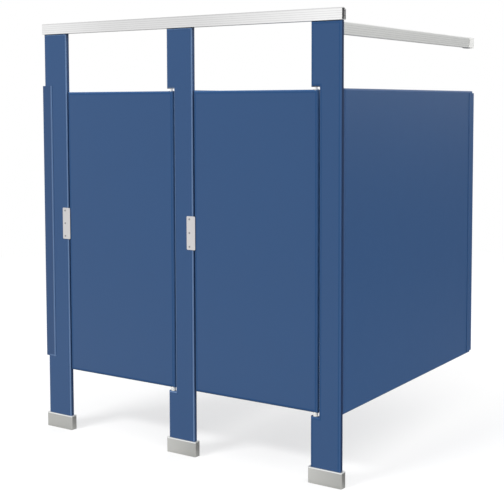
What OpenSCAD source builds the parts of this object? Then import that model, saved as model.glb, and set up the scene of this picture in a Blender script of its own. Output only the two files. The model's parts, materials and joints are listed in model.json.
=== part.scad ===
// Overhead-braced toilet cubicle: two bays side by side against a left wall and a rear wall.
// Three pilasters stand in a row on shoes. A door hangs in the notch of the middle and of the
// right pilaster. A divider and an end panel run back to the rear wall, and a headrail along the
// front and one along the side tie everything together.
// X runs along the front to the right, Y runs from the front to the rear wall, Z is up.
// The origin is on the floor, at the middle of the footprint.

/* [Layout] */
// Distance from one pilaster to the next
pitch = 819; // [760:1:960]
// Width of each pilaster
pilaster_w = 158; // [150:1:200]
// Gap between the left wall and the first pilaster
wall_gap = 10; // [8:0.5:14]
// Depth from the pilasters' front faces to the rear wall
stall_depth = 1524; // [1200:1:1900]

/* [Heights] */
// Height of both doors
door_h = 1473; // [1300:1:1600]
// Floor to the bottom of the doors
door_bottom = 328; // [250:1:380]
// Height of the divider and the end panel
panel_h = 1473; // [1300:1:1600]
// Floor to the bottom of the panels
panel_bottom = 333; // [250:1:380]
// Floor to the top of the pilasters, where the front headrail sits
pilaster_top = 2106; // [2070:1:2300]
// Floor to the bottom of the pilasters, inside the shoes
pilaster_bottom = 40; // [30:1:60]
// Gap between the right pilaster and the end panel behind it
end_panel_gap = 2; // [1:0.5:6]
// Drop from the front headrail's underside to the side headrail's top
side_rail_drop = 6; // [2:1:30]

/* [Leaves] */
// Thickness of the pilasters
pilaster_t = 28; // [26:0.5:34]
// Thickness of the doors and panels
leaf_t = 25.4; // [24:0.2:28]
// Thickness of the steel sheets and of the crowned edge strip
sheet_t = 1; // [0.8:0.1:1.5]
// Radius of the crowned edge
edge_r = 10; // [6:0.5:11]
// Width of the edge strip's lip on the faces
trim_lip = 14; // [12:0.5:20]

/* [Door gaps] */
// Depth of the notch in the hinge pilasters
notch_d = 44; // [40:1:60]
// Gap above the door inside the notch
notch_top_gap = 12; // [10:1:20]
// Gap below the door inside the notch
notch_bottom_gap = 17; // [15:1:24]
// Gap at the latch side of the door
latch_gap = 6; // [5:0.5:9]
// Gap between the door's hinge edge and the notch
hinge_gap = 7; // [6:0.5:20]

/* [Hinges] */
// Distance from the door's hinge edge to the hinge axis
hinge_inset = 16; // [14:0.5:20]
// Radius of the hinge pins
pin_r = 6; // [4:0.5:7]
// Radial running clearance between pin and bush
pin_clear = 0.05; // [0.02:0.01:0.1]
// Wall of the nylon bush inside the door
bush_wall = 3; // [2:0.5:4]
// Depth that pins and bushes reach into the leaves
pin_depth = 34; // [20:1:60]
// Amount that the cams stand out past the bush
cam_rim = 2; // [1:0.5:3]
// Height of the fixed lower cam
cam_h = 8; // [5:0.5:9]
// Gap between the two lower cams
cam_gap = 0.4; // [0.2:0.1:1]
// Thickness of the upper bush's flange
flange_t = 2.5; // [1.5:0.5:5]

/* [Headrails] */
// Height of the headrail
rail_h = 54.7; // [48:0.1:70]
// Depth of the headrail, front to back
rail_d = 38; // [34:0.5:44]
// Depth of the headrail's tall front half
rail_front_d = 28; // [22:0.5:30]
// Step down from the front half to the rear half
rail_step = 6; // [3:0.5:10]
// Radius of the headrail's top edges
rail_r = 5; // [3:0.5:5.5]
// Wall of the headrail
rail_wall = 2; // [1.5:0.1:2.5]
// Number of grooves along the headrail's front
groove_count = 4; // [0:1:5]
// Width of a groove
groove_w = 1.4; // [0.6:0.1:2]
// Depth of a groove
groove_depth = 1; // [0.4:0.1:1.2]
// Overhang of the front headrail past the right pilaster
rail_over = 3; // [0:0.5:6]
// Distance from the end panel's outer face to the side headrail's tall face
rail_inset = 5; // [4:0.5:8]

/* [Headrail brackets] */
// Plate thickness of the brackets
bracket_t = 3; // [2:0.5:4]
// Length of the tongues inside the headrails
tongue_l = 60; // [40:1:100]
// Clearance around a tongue
tongue_clear = 0.5; // [0.2:0.1:1]
// Radius of the wall screw holes
wall_hole_r = 2.75; // [2:0.25:3.5]
// Spacing of the two wall screw holes in a bracket
bracket_hole_gap = 24; // [18:1:28]
// Length of the saddle round the side headrail's wall end
saddle_l = 62; // [40:1:100]
// Height of the saddle
saddle_h = 56; // [40:1:57]

/* [Channels] */
// Depth of a wall channel, from the wall
channel_d = 66; // [50:1:80]
// Depth of the channel between divider and pilaster
front_channel_d = 40; // [30:1:60]
// Thickness of the channels
channel_t = 1.5; // [1.2:0.1:2.5]
// Width of the bead along a channel's free edges
bead_w = 12; // [8:0.5:14]
// Height of the bead
bead_h = 2; // [1:0.1:2.5]
// Floor to the bottom of the left pilaster's wall channel
left_channel_z = 386; // [300:1:500]
// Distance from each end of a panel to the end of its channels
channel_lift = 12; // [0:1:20]
// Width of the corner angle's two legs
angle_leg = 38; // [30:1:50]
// Distance from each end of a channel to its outer wall hole
hole_inset = 74.5; // [20:0.5:200]
// Distance between the inner pair of wall holes
inner_hole_gap = 450; // [300:1:700]

/* [Fasteners] */
// Radius of the screws' shanks
screw_r = 2.4; // [2:0.1:3]
// Radius of the screws' heads
screw_head_r = 4.8; // [4:0.1:6]
// Height of the screws' heads
screw_head_h = 2.4; // [1.5:0.1:3]
// Clearance between the screws' heads and the divider
head_clear = 1; // [0.5:0.1:3]
// Length of the screws' shanks
screw_l = 16; // [12:1:20]
// Step down from a channel's wall holes to its screws, and on to the panel's screws
screw_shift = 40; // [30:1:50]

/* [Shoes] */
// Height of the shoes
shoe_h = 76; // [65:1:100]
// Reach of a shoe past the pilaster's side edges
shoe_side = 10; // [8:0.5:14]
// Reach of a shoe past the pilaster's faces
shoe_front = 6; // [5.5:0.5:12]
// Thickness of the shoe
shoe_t = 1.2; // [1:0.1:2]
// Radius of the shoe's upright corners
shoe_r = 7; // [4:0.5:10]
// Radius of the shoe's rolled top rim
rim_r = 3.5; // [2:0.5:4]
// Clearance between shoe and pilaster
shoe_clear = 0.6; // [0.3:0.1:1.5]

/* [Floor fixings] */
// Length of the floor bracket
foot_l = 124; // [110:1:130]
// Width of the floor bracket
foot_w = 30; // [24:1:32]
// Thickness of the floor bracket
foot_t = 5; // [3:0.5:8]
// Spacing of the two floor anchor holes
anchor_gap = 96; // [88:1:100]
// Radius of the floor anchor holes
anchor_r = 5.5; // [4:0.5:6.5]
// Spacing of the two levelling bolts
jack_gap = 50; // [40:1:56]
// Radius of the levelling bolts
jack_r = 5; // [4:0.5:6]
// Depth that the levelling bolts reach into the pilaster
jack_depth = 16; // [13:1:40]
// Height of a levelling nut
nut_h = 8; // [5:0.5:9]
// Radius of a levelling nut, over its corners
nut_r = 8.5; // [8:0.1:11]

/* [Keepers] */
// Height of the keeper
keeper_h = 165; // [120:1:200]
// Height of the keeper and the latch above the doors' middle
latch_rise = 45.5; // [-100:0.5:150]
// Length of the keeper's legs on the pilaster
keeper_leg = 37; // [35:1:50]
// Reach of the keeper's stop past the pilaster's edge
keeper_stop = 14; // [13:0.5:20]
// Thickness of the keeper's plate
keeper_t = 2.5; // [2:0.1:3]
// Distance from the pilaster's edge to the keeper bolts
keeper_bolt_x = 20.5; // [19.5:0.5:26]
// Spacing of the keeper bolts
keeper_bolt_gap = 67.5; // [40:0.5:75]
// Radius of the keeper bolts
keeper_bolt_r = 3; // [2.5:0.1:3.5]
// Radius of the keeper bolts' heads
keeper_head_r = 5; // [4:0.1:6]
// Height of the keeper bolts' heads
keeper_head_h = 1.8; // [1:0.1:2.5]
// Length of the staple that the latch bolt enters
staple_l = 12; // [8:0.5:13]
// Wall of the staple
staple_wall = 3; // [2:0.5:3]
// Length of the rubber bumper
bumper_l = 120; // [60:1:160]
// Thickness of the rubber bumper
bumper_t = 1; // [0.5:0.1:1.1]

/* [Latches] */
// Radius of the latch bolt
bolt_r = 6; // [4:0.5:6]
// Length of the latch bolt
bolt_l = 58; // [50:1:70]
// Running clearance of the latch bolt in its case
bolt_clear = 0.08; // [0.05:0.01:0.1]
// Clearance of the latch bolt in the staple
staple_clear = 1; // [0.5:0.1:1.5]
// Travel of the latch bolt
bolt_travel = 25; // [20:1:28]
// Distance from the door's edge to the latch case
case_inset = 4; // [3:0.5:8]
// Length of the latch case
case_l = 72; // [66:1:90]
// Height of the latch case
case_h = 56; // [40:1:70]
// Depth of the latch case
case_d = 26; // [24:0.5:30]
// Radius of the latch case's corners
case_r = 8; // [3:0.5:12]
// Distance from the door's inner face to the bolt's axis
bolt_axis = 14; // [13:0.5:15]
// Radius of the knob's stem
stem_r = 4; // [3:0.5:5]
// Radius of the knob
knob_r = 10; // [8:0.5:13]
// Thickness of the knob
knob_t = 9; // [6:0.5:12]
// Gap between the knob and the case
knob_gap = 3; // [1:0.5:6]

/* [Coat hooks] */
// Distance from the doors' top to the coat hook's axis
hook_below = 181; // [100:1:400]
// Radius of the coat hook's base at its ends
hook_base_r = 18; // [14:1:24]
// Drop from the coat hook's stem to the start of its prong
hook_drop = 24; // [20:1:32]
// Thickness of the coat hook's base
hook_base_t = 4; // [3:0.5:6]
// Radius of the stem and of the prong
hook_r = 5; // [4:0.5:6]
// Bend radius of the prong
hook_bend = 15; // [12:0.5:17]
// Reach of the hook with its rubber tip, from the door's inner face
hook_reach = 58; // [50:1:66]
// Radius of the rubber tip
tip_r = 11; // [8:0.5:13]
// Thickness of the rubber tip
tip_t = 10; // [6:0.5:14]

/* [Hidden] */
$fn = 64;

// Colours of the finishes
paint = [0.26, 0.38, 0.53];
board = [0.80, 0.72, 0.55];
aluminium = [0.86, 0.86, 0.87];
stainless = [0.72, 0.72, 0.70];
nylon = [0.92, 0.92, 0.88];
rubber = [0.12, 0.12, 0.13];
chrome = [0.80, 0.80, 0.82];

// Footprint and the planes that everything hangs from
overall_w = wall_gap + 2 * pitch + pilaster_w + shoe_side;
overall_d = shoe_front + stall_depth;
wall_x = -overall_w / 2;
front_y = -overall_d / 2 + shoe_front;
back_y = front_y + stall_depth;
rear_y = front_y + pilaster_t;
end_x = wall_x + wall_gap + 2 * pitch + pilaster_w;
divider_x = wall_x + wall_gap + pitch + (pilaster_w + leaf_t) / 2;
mid_y = front_y + pilaster_t / 2;
door_front = mid_y - leaf_t / 2;
door_rear = mid_y + leaf_t / 2;
door_top = door_bottom + door_h;
door_w = pitch - pilaster_w + notch_d - latch_gap - hinge_gap;
// The latch and the coat hook keep their places on the door
keeper_z = door_bottom + door_h / 2 + latch_rise;
hook_z = door_top - hook_below;
channel_l = panel_h - 2 * channel_lift;
// The divider stops short of the screw heads in its front channel
divider_gap = channel_t + screw_head_h + head_clear;
notch_lo = door_bottom - notch_bottom_gap;
notch_hi = door_top + notch_top_gap;
rail_x = end_x - rail_inset;
side_rail_z = pilaster_top - side_rail_drop - rail_h;
panel_channel_z = panel_bottom + channel_lift;
angle_t = 2 * channel_t;
bead_r = (bead_w * bead_w / 4 + bead_h * bead_h) / (2 * bead_h);
bush_r = pin_r + bush_wall;
cam_r = bush_r + cam_rim;
latch_y = door_rear + bolt_axis;
staple_r = bolt_r + staple_clear;
// The headrail's hollow keeps its wall round the rounded top edges
cavity_side = rail_r - (rail_r - rail_wall) / sqrt(2);
cavity_top = rail_h - cavity_side;
groove_pitch = (rail_h - rail_r) / (groove_count + 1);
// The knob's stem stands here from the door's left edge while the latch bolt is drawn back
stem_x = case_inset + bolt_l - knob_r + stem_r;
// How far cuts run past the faces they open
eps = 1;

// Left edge of pilaster i, right edge of pilaster i, hinge edge and left edge of door i
function pilaster_x(i) = wall_x + wall_gap + i * pitch;
function latch_edge(i) = pilaster_x(i) + pilaster_w;
function door_x(i) = latch_edge(i) + latch_gap;
function hinge_x(i) = door_x(i) + door_w - hinge_inset;

// ---------- shared shapes ----------

// A flat rectangle with round corners, from corner lo to corner hi
module rounded_rect(lo, hi, r) {
    translate([lo.x + r, lo.y]) square([hi.x - lo.x - 2 * r, hi.y - lo.y]);
    translate([lo.x, lo.y + r]) square([hi.x - lo.x, hi.y - lo.y - 2 * r]);
    for (a = [lo.x + r, hi.x - r], b = [lo.y + r, hi.y - r]) translate([a, b]) circle(r);
}

// Extrudes a flat shape drawn as (y, z) along X from x0 to x1
module along_x(x0, x1) translate([x0, 0, 0]) rotate([90, 0, 90]) linear_extrude(x1 - x0) children();

// Extrudes a flat shape drawn as (x, z) along Y from y0 to y1
module along_y(y0, y1) translate([0, y1, 0]) rotate([90, 0, 0]) linear_extrude(y1 - y0) children();

// Box from corner lo to corner hi
module box(lo, hi) translate(lo) cube(hi - lo);

// A leaf block [u0, u1, z0, z1] whose four edges are crowned, with mitred corners
module crowned_block(b, t, inset, r) {
    lo = [b[0] + inset, inset, b[2] + inset];
    hi = [b[1] - inset, t - inset, b[3] - inset];
    intersection() {
        translate([0, 0, lo.z]) linear_extrude(hi.z - lo.z) rounded_rect([lo.x, lo.y], [hi.x, hi.y], r);
        along_x(lo.x, hi.x) rounded_rect([lo.y, lo.z], [hi.y, hi.z], r);
    }
}

// A flat slab inside a leaf block, between depths y0 and y1
module slab(b, y0, y1, inset) box([b[0] + inset, y0, b[2] + inset], [b[1] - inset, y1, b[3] - inset]);

// One layer of a leaf. The leaf lies in the XZ plane, its front face at y = 0.
module leaf_layer(layer, blocks, t) {
    if (layer == "front") for (b = blocks) slab(b, 0, sheet_t, trim_lip);
    if (layer == "rear") for (b = blocks) slab(b, t - sheet_t, t, trim_lip);
    if (layer == "core") for (b = blocks) crowned_block(b, t, sheet_t, edge_r - sheet_t);
    if (layer == "trim") difference() {
        for (b = blocks) crowned_block(b, t, 0, edge_r);
        for (b = blocks) crowned_block(b, t, sheet_t, edge_r - sheet_t);
        for (b = blocks) slab(b, -eps, t + eps, trim_lip);
    }
}

// Headrail section: x is the depth behind the tall face, y is the height
module rail_section() {
    rear_top = rail_h - rail_step;
    difference() {
        union() {
            square([rail_front_d, rail_h - rail_r]);
            translate([rail_r, 0]) square([rail_front_d - 2 * rail_r, rail_h]);
            for (a = [rail_r, rail_front_d - rail_r]) translate([a, rail_h - rail_r]) circle(rail_r);
            square([rail_d, rear_top - rail_r]);
            square([rail_d - rail_r, rear_top]);
            translate([rail_d - rail_r, rear_top - rail_r]) circle(rail_r);
        }
        rail_cavity(0);
        translate([rail_front_d, rail_wall])
            square([rail_d - cavity_side - rail_front_d, cavity_top - rail_step - rail_wall]);
        for (i = [1:1:groove_count])
            translate([-eps, i * groove_pitch - groove_w / 2]) square([eps + groove_depth, groove_w]);
    }
}

// The headrail's front hollow, drawn in by a clearance
module rail_cavity(clear)
    translate([cavity_side + clear, rail_wall + clear])
        square([rail_front_d - 2 * (cavity_side + clear), cavity_top - rail_wall - 2 * clear]);

// Bracket inside a headrail: a plate, and two tongues along +Z
module rail_bracket() {
    inner_lo = rail_wall + tongue_clear + bracket_t;
    inner_hi = cavity_top - tongue_clear - bracket_t;
    difference() {
        linear_extrude(tongue_l) rail_cavity(tongue_clear);
        box([0, inner_lo, bracket_t], [rail_front_d, inner_hi, tongue_l + eps]);
    }
}

// The two wall screw holes of a headrail bracket, behind the middle of the rail's front hollow
module bracket_holes() translate([rail_front_d / 2, cavity_top / 2, -eps]) for (s = [-1, 1])
    translate([0, s * bracket_hole_gap / 2, 0]) cylinder(r = wall_hole_r, h = bracket_t + 2 * eps);

// Puts a shape drawn in the rail section, extruded along +Z, at the left wall for the front rail
module at_front_rail(x) translate([x, mid_y - rail_d / 2, pilaster_top]) rotate([90, 0, 90]) children();

// ---------- leaves ----------

// A pilaster with a straight left edge, or with the notch that a door hangs in
function plain_blocks() = [[0, pilaster_w, pilaster_bottom, pilaster_top]];
function notched_blocks() = [
    [notch_d, pilaster_w, pilaster_bottom, pilaster_top],
    [0, pilaster_w, notch_hi, pilaster_top],
    [0, pilaster_w, pilaster_bottom, notch_lo]
];

module pilaster(i, layer, blocks) color(layer == "core" ? board : paint) difference() {
    translate([pilaster_x(i), front_y, 0]) leaf_layer(layer, blocks, pilaster_t);
    pilaster_fasteners(i);
}

// Everything that is driven or screwed into pilaster i
module pilaster_fasteners(i) {
    jack_bolts(i);
    if (i < 2) keeper_shanks(i);
    if (i > 0) hinge_pin_pair(i - 1);
    if (i == 0) shanks(left_channel_screws());
    if (i == 1) shanks(divider_pilaster_screws());
    if (i == 2) shanks(concat(angle_pilaster_screws(), side_rail_screws()));
}

module door(i, layer) color(layer == "core" ? board : paint) difference() {
    translate([door_x(i), door_front, 0])
        leaf_layer(layer, [[0, door_w, door_bottom, door_top]], leaf_t);
    for (z = [door_bottom - eps, door_top - pin_depth - bush_wall])
        translate([hinge_x(i), mid_y, z]) cylinder(r = bush_r, h = pin_depth + bush_wall + eps);
}

// A panel that runs from gap behind the pilasters to the rear wall, its front face towards +X at x
module panel(x, gap, layer) color(layer == "core" ? board : paint) difference() {
    translate([x, rear_y, 0]) rotate([0, 0, 90]) leaf_layer(
        layer, [[gap, stall_depth - pilaster_t - wall_gap, panel_bottom, panel_bottom + panel_h]], leaf_t);
    shanks(x == end_x ? end_panel_screws() : divider_screws());
}

module left_pilaster(layer) pilaster(0, layer, plain_blocks());
module mid_pilaster(layer) pilaster(1, layer, notched_blocks());
module right_pilaster(layer) pilaster(2, layer, notched_blocks());
module divider(layer) panel(divider_x, divider_gap, layer);
module end_panel(layer) panel(end_x, end_panel_gap, layer);

// ---------- headrails and their brackets ----------

module front_headrail() color(aluminium)
    at_front_rail(wall_x + bracket_t) linear_extrude(end_x + rail_over - wall_x - bracket_t) rail_section();

module headrail_wall_bracket() color(stainless) at_front_rail(wall_x) difference() {
    rail_bracket();
    bracket_holes();
}

// The side rail turns its tall face to +X
module side_headrail() color(aluminium)
    side_section(rear_y + bracket_t, back_y - bracket_t) rail_section();

// Extrudes a rail section along Y from y0 to y1, its tall face at rail_x
module side_section(y0, y1)
    translate([rail_x, y1, side_rail_z]) rotate([90, 0, 0]) linear_extrude(y1 - y0) mirror([1, 0]) children();

module side_rail_pilaster_bracket() color(stainless) difference() {
    translate([rail_x, rear_y, side_rail_z]) mirror([1, 0, 0]) mirror([0, 1, 0]) rotate([90, 0, 0]) rail_bracket();
    shanks(side_rail_screws());
}

// A saddle that the side rail's wall end drops into
module side_rail_wall_saddle() color(stainless) difference() {
    side_section(back_y - saddle_l, back_y)
        translate([-bracket_t, -bracket_t]) square([rail_d + 2 * bracket_t, saddle_h]);
    side_section(back_y - saddle_l - eps, back_y - bracket_t) square([rail_d, saddle_h + eps]);
    translate([rail_x - rail_front_d, back_y, side_rail_z]) rotate([90, 0, 0]) bracket_holes();
}

// ---------- channels ----------

// A U channel drawn in plan: web along x from 0 to w, legs along +y to d, each with a beaded edge
module channel_section(w, d) difference() {
    union() {
        square([w, d]);
        translate([0, d - bead_w / 2]) bead();
        translate([w, d - bead_w / 2]) mirror([1, 0]) bead();
    }
    translate([channel_t, channel_t]) square([w - 2 * channel_t, d]);
}

// Section of a crowned bead that bulges towards -x
module bead() intersection() {
    translate([bead_r - bead_h, 0]) circle(bead_r);
    translate([-bead_h, -bead_w / 2]) square([bead_h + channel_t, bead_w]);
}

// Heights of the outer and the inner pair of wall holes of a channel that starts at z0
function channel_heights(z0) = [for (gap = [channel_l - 2 * hole_inset, inner_hole_gap], s = [-1, 1])
    z0 + (channel_l + s * gap) / 2];

module left_wall_channel() color(paint) difference() {
    translate([wall_x, rear_y + channel_t, left_channel_z]) rotate([0, 0, -90]) linear_extrude(channel_l)
        channel_section(pilaster_t + 2 * channel_t, channel_d);
    for (z = channel_heights(left_channel_z))
        translate([wall_x - eps, mid_y, z]) rotate([0, 90, 0]) cylinder(r = wall_hole_r, h = channel_t + 2 * eps);
    shanks(left_channel_screws());
}

// Wall channel of a panel whose +X face is at x
module panel_wall_channel(x) color(paint) difference() {
    translate([x + channel_t, back_y, panel_channel_z]) rotate([0, 0, 180]) linear_extrude(channel_l)
        channel_section(leaf_t + 2 * channel_t, channel_d);
    for (z = channel_heights(panel_channel_z))
        translate([x - leaf_t / 2, back_y + eps, z]) rotate([90, 0, 0])
            cylinder(r = wall_hole_r, h = channel_t + 2 * eps);
    shanks(x == end_x ? end_panel_screws() : divider_screws());
}

module divider_wall_channel() panel_wall_channel(divider_x);
module end_panel_wall_channel() panel_wall_channel(end_x);

module divider_front_channel() color(paint) difference() {
    translate([divider_x - leaf_t - channel_t, rear_y, panel_channel_z]) linear_extrude(channel_l)
        channel_section(leaf_t + 2 * channel_t, front_channel_d);
    shanks(divider_screws());
    shanks(divider_pilaster_screws());
}

module end_panel_corner_angle() color(paint) difference() {
    translate([end_x - leaf_t, rear_y, panel_channel_z]) linear_extrude(channel_l) difference() {
        translate([-angle_leg, 0]) square([angle_leg, angle_leg]);
        translate([-angle_leg - eps, angle_t]) square([angle_leg - angle_t + eps, angle_leg]);
    }
    shanks(end_panel_screws());
    shanks(angle_pilaster_screws());
}

// ---------- fasteners ----------

// Each screw is [point under the head, turn that points +Z along the shank]
function left_channel_screws() = [for (z = channel_heights(left_channel_z))
    [[pilaster_x(0) + channel_d / 2, rear_y + channel_t, z - screw_shift], [90, 0, 0]]];
function divider_pilaster_screws() = [for (z = channel_heights(panel_channel_z))
    [[divider_x - leaf_t / 2, rear_y + channel_t, z - screw_shift], [90, 0, 0]]];
function angle_pilaster_screws() = [for (z = channel_heights(panel_channel_z))
    [[end_x - leaf_t - angle_leg / 2 - angle_t / 2, rear_y + angle_t, z - screw_shift], [90, 0, 0]]];
function divider_screws() = [
    for (z = channel_heights(panel_channel_z), y = [rear_y + front_channel_d / 2, back_y - channel_d / 2])
        [[divider_x + channel_t, y, z - 2 * screw_shift], [0, -90, 0]]];
function end_panel_screws() = concat(
    [for (z = channel_heights(panel_channel_z))
        [[end_x - leaf_t - channel_t, back_y - channel_d / 2, z - 2 * screw_shift], [0, 90, 0]]],
    [for (z = channel_heights(panel_channel_z))
        [[end_x - leaf_t - angle_t, rear_y + angle_leg / 2 + edge_r / 2, z - 2 * screw_shift], [0, 90, 0]]]);

function side_rail_screws() = [for (s = [-1, 1])
    [[rail_x - rail_front_d / 2, rear_y + bracket_t, side_rail_z + (cavity_top + s * bracket_hole_gap) / 2],
     [90, 0, 0]]];

module shanks(screws) for (s = screws) translate(s[0]) rotate(s[1]) cylinder(r = screw_r, h = screw_l);

module fixing_screws() color(stainless) {
    screws = concat(left_channel_screws(), divider_pilaster_screws(), angle_pilaster_screws(),
                    side_rail_screws(), divider_screws(), end_panel_screws());
    shanks(screws);
    for (s = screws)
        translate(s[0]) rotate(s[1]) translate([0, 0, -screw_head_h]) cylinder(r = screw_head_r, h = screw_head_h);
}

// ---------- shoes and floor fixings ----------

module shoe(i) color(stainless) translate([pilaster_x(i), front_y, 0]) {
    lo = [-shoe_side, -shoe_front];
    hi = [pilaster_w + shoe_side, pilaster_t + shoe_front];
    difference() {
        intersection() {
            linear_extrude(shoe_h) rounded_rect(lo, hi, shoe_r);
            along_x(lo.x, hi.x) rounded_rect([lo.y, -2 * rim_r], [hi.y, shoe_h], rim_r);
            along_y(lo.y, hi.y) rounded_rect([lo.x, -2 * rim_r], [hi.x, shoe_h], rim_r);
        }
        translate([0, 0, -eps]) linear_extrude(shoe_h - rim_r + eps)
            rounded_rect(lo + [shoe_t, shoe_t], hi - [shoe_t, shoe_t], shoe_r - shoe_t);
        linear_extrude(shoe_h + eps)
            rounded_rect([-shoe_clear, -shoe_clear],
                         [pilaster_w + shoe_clear, pilaster_t + shoe_clear], edge_r + shoe_clear);
    }
}

module left_shoe() shoe(0);
module mid_shoe() shoe(1);
module right_shoe() shoe(2);

module floor_brackets() color(stainless) for (i = [0:2]) difference() {
    translate([pilaster_x(i) + pilaster_w / 2, mid_y, 0]) difference() {
        box([-foot_l / 2, -foot_w / 2, 0], [foot_l / 2, foot_w / 2, foot_t]);
        for (s = [-1, 1]) translate([s * anchor_gap / 2, 0, -eps]) cylinder(r = anchor_r, h = foot_t + 2 * eps);
    }
    jack_bolts(i);
}

// The two threaded bolts that a pilaster stands on
module jack_bolts(i) for (s = [-1, 1])
    translate([pilaster_x(i) + pilaster_w / 2 + s * jack_gap / 2, mid_y, 0])
        cylinder(r = jack_r, h = pilaster_bottom + jack_depth);

module levelling_bolts() color(stainless) for (i = [0:2]) {
    jack_bolts(i);
    for (s = [-1, 1], z = [foot_t, pilaster_bottom - nut_h])
        translate([pilaster_x(i) + pilaster_w / 2 + s * jack_gap / 2, mid_y, z])
            cylinder(r = nut_r, h = nut_h, $fn = 6);
}

// ---------- keepers ----------

// Wraps round the latch edge of pilaster i: its front leg stops the door, its staple takes the bolt
module keeper(i) color(stainless) translate([latch_edge(i), 0, keeper_z]) difference() {
    union() {
        along_y(front_y - keeper_t, front_y)
            rounded_rect([-keeper_leg, -keeper_h / 2], [keeper_stop, keeper_h / 2], 2 * keeper_t);
        along_y(rear_y, rear_y + keeper_t)
            rounded_rect([-keeper_leg, -keeper_h / 2], [keeper_t, keeper_h / 2], keeper_t / 2);
        box([0, front_y - keeper_t / 2, -keeper_h / 2 + 2 * keeper_t],
            [keeper_t, rear_y + keeper_t / 2, keeper_h / 2 - 2 * keeper_t]);
        box([-staple_l, rear_y + keeper_t / 2, -staple_r - staple_wall],
            [0, latch_y + staple_r + staple_wall, staple_r + staple_wall]);
    }
    translate([-staple_l - eps, latch_y, 0]) rotate([0, 90, 0])
        cylinder(r = staple_r, h = staple_l + keeper_t + 2 * eps);
    translate([-latch_edge(i), 0, -keeper_z]) keeper_shanks(i);
}

module keeper_1() keeper(0);
module keeper_2() keeper(1);

// Through bolts of keeper i
module keeper_shanks(i) for (k = [-1:1])
    translate([latch_edge(i) - keeper_bolt_x, rear_y + keeper_t, keeper_z + k * keeper_bolt_gap])
        rotate([90, 0, 0]) cylinder(r = keeper_bolt_r, h = pilaster_t + 2 * keeper_t);

module keeper_bolts() color(stainless) for (i = [0, 1]) {
    keeper_shanks(i);
    for (k = [-1:1], y = [front_y - keeper_t, rear_y + keeper_t + keeper_head_h])
        translate([latch_edge(i) - keeper_bolt_x, y, keeper_z + k * keeper_bolt_gap])
            rotate([90, 0, 0]) cylinder(r = keeper_head_r, h = keeper_head_h);
}

module keeper_bumpers() color(rubber) for (i = [0, 1])
    translate([latch_edge(i), 0, keeper_z]) box(
        [keeper_stop - bumper_t - latch_gap, front_y, -bumper_l / 2],
        [keeper_stop - bumper_t, front_y + bumper_t, bumper_l / 2]);

// ---------- hinges ----------

// The pins that door i turns on, fixed in the notch of pilaster i + 1
module hinge_pin_pair(i) {
    translate([hinge_x(i), mid_y, notch_lo - pin_depth])
        cylinder(r = pin_r, h = 2 * pin_depth + notch_bottom_gap);
    translate([hinge_x(i), mid_y, door_top - pin_depth])
        cylinder(r = pin_r, h = 2 * pin_depth + notch_top_gap);
}

module hinge_pins() color(chrome) for (i = [0, 1]) hinge_pin_pair(i);

module hinge_fixed_cams() color(nylon) for (i = [0, 1]) translate([hinge_x(i), mid_y, notch_lo])
    linear_extrude(cam_h) difference() {
        circle(cam_r);
        circle(pin_r);
    }

// Bush in the top edge of door i
module hinge_bush(i) color(nylon) translate([hinge_x(i), mid_y, door_top]) difference() {
    union() {
        translate([0, 0, -pin_depth - bush_wall]) cylinder(r = bush_r, h = pin_depth + bush_wall);
        cylinder(r = cam_r, h = flange_t);
    }
    translate([0, 0, -pin_depth - pin_clear]) cylinder(r = pin_r + pin_clear, h = pin_depth + flange_t + eps);
}

// Cam and bush in the bottom edge of door i, resting on the fixed cam
module hinge_cam(i) color(nylon) translate([hinge_x(i), mid_y, door_bottom]) difference() {
    rim_h = notch_bottom_gap - cam_h - cam_gap;
    union() {
        cylinder(r = bush_r, h = pin_depth + bush_wall);
        translate([0, 0, -rim_h]) cylinder(r = cam_r, h = rim_h);
    }
    translate([0, 0, -rim_h - eps]) cylinder(r = pin_r + pin_clear, h = pin_depth + rim_h + eps + pin_clear);
}

module door_1_hinge_bush() hinge_bush(0);
module door_2_hinge_bush() hinge_bush(1);
module door_1_hinge_cam() hinge_cam(0);
module door_2_hinge_cam() hinge_cam(1);

// ---------- latches and coat hooks ----------

module latch_case(i) color(chrome) translate([door_x(i), 0, keeper_z]) difference() {
    along_y(door_rear, door_rear + case_d)
        rounded_rect([case_inset, -case_h / 2], [case_inset + case_l, case_h / 2], case_r);
    translate([case_inset - eps, latch_y, 0]) rotate([0, 90, 0])
        cylinder(r = bolt_r + bolt_clear, h = bolt_l + 2 * eps);
    along_y(latch_y, door_rear + case_d + eps) {
        slot_r = stem_r + bolt_clear;
        for (x = [stem_x - bolt_travel, stem_x]) translate([x, 0]) circle(slot_r);
        translate([stem_x - bolt_travel, -slot_r]) square([bolt_travel, 2 * slot_r]);
    }
}

module latch_bolt(i) color(chrome) translate([door_x(i), latch_y, keeper_z]) {
    translate([case_inset, 0, 0]) rotate([0, 90, 0]) cylinder(r = bolt_r, h = bolt_l);
    stem_l = case_d - bolt_axis + knob_gap;
    translate([stem_x, 0, 0]) rotate([-90, 0, 0]) {
        cylinder(r = stem_r, h = stem_l + eps);
        translate([0, 0, stem_l]) cylinder(r = knob_r, h = knob_t);
    }
}

// A stem with a rubber tip that stops the door, and a prong that curls up below it
module coat_hook(i) color(chrome) translate([door_x(i) + door_w / 2, door_rear, hook_z]) {
    along_y(0, hook_base_t) {
        translate([-hook_base_r, -hook_drop]) square([2 * hook_base_r, hook_drop]);
        for (z = [0, -hook_drop]) translate([0, z]) circle(hook_base_r);
    }
    rotate([-90, 0, 0]) {
        cylinder(r = hook_r, h = hook_reach - tip_t / 2);
        translate([0, 0, hook_reach - tip_t]) cylinder(r = tip_r, h = tip_t);
    }
    translate([0, hook_bend + hook_r, -hook_drop]) {
        rotate([0, 90, 0]) rotate([0, 0, -90])
            rotate_extrude(angle = 180) translate([hook_bend, 0]) circle(hook_r);
        translate([0, hook_bend, 0]) sphere(hook_r);
    }
}

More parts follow.
